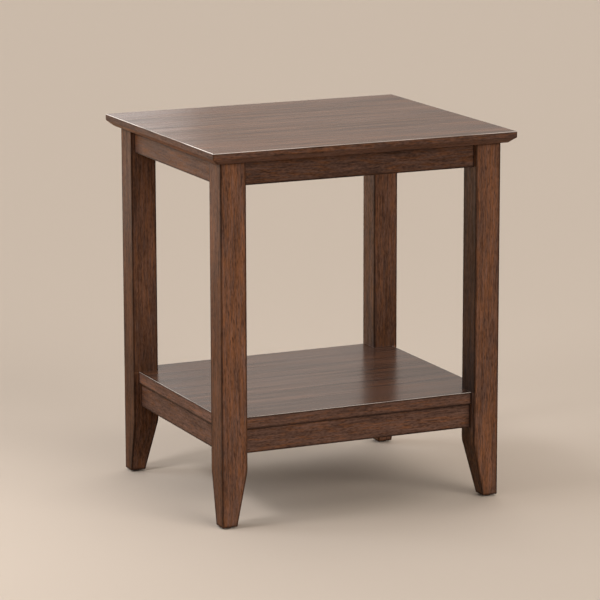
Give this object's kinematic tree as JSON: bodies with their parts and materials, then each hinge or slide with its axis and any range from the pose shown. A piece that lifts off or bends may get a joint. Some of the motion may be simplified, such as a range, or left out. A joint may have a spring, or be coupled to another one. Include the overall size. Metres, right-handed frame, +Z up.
{
  "type": "end table with shelf",
  "caption": "End table with a thin rectangular top bevelled underneath, square legs that taper at the foot, aprons under the top, and a low open shelf on rails.",
  "frame": {"origin": "on the floor, under the middle of the top", "axes": "+X to the right along the front, +Y from the front to the back, +Z up"},
  "size_m": [0.533, 0.46, 0.61],
  "materials": {
    "stained_wood": "satin dark walnut stain and lacquer over straight-grained hardwood",
    "block_wood": "planed hardwood, unstained",
    "beech": "beech dowel rod",
    "zinc_steel": "zinc-plated steel",
    "nylon": "dark moulded nylon"
  },
  "bodies": {
    "root": {"back_apron": "stained_wood", "back_left_leg": "stained_wood", "back_rail": "stained_wood", "back_right_leg": "stained_wood", "foot_glides": "nylon", "front_apron": "stained_wood", "front_left_leg": "stained_wood", "front_rail": "stained_wood", "front_right_leg": "stained_wood", "glide_nails": "zinc_steel", "left_apron": "stained_wood", "left_rail": "stained_wood", "lower_back_left_block": "block_wood", "lower_back_right_block": "block_wood", "lower_block_screws": "zinc_steel", "lower_dowels": "beech", "lower_front_left_block": "block_wood", "lower_front_right_block": "block_wood", "lower_hanger_bolts": "zinc_steel", "lower_nuts": "zinc_steel", "lower_washers": "zinc_steel", "right_apron": "stained_wood", "right_rail": "stained_wood", "shelf": "stained_wood", "shelf_screws": "zinc_steel", "table_top": "stained_wood", "top_screws": "zinc_steel", "upper_back_left_block": "block_wood", "upper_back_right_block": "block_wood", "upper_block_screws": "zinc_steel", "upper_dowels": "beech", "upper_front_left_block": "block_wood", "upper_front_right_block": "block_wood", "upper_hanger_bolts": "zinc_steel", "upper_nuts": "zinc_steel", "upper_washers": "zinc_steel"}
  },
  "joints": []
}
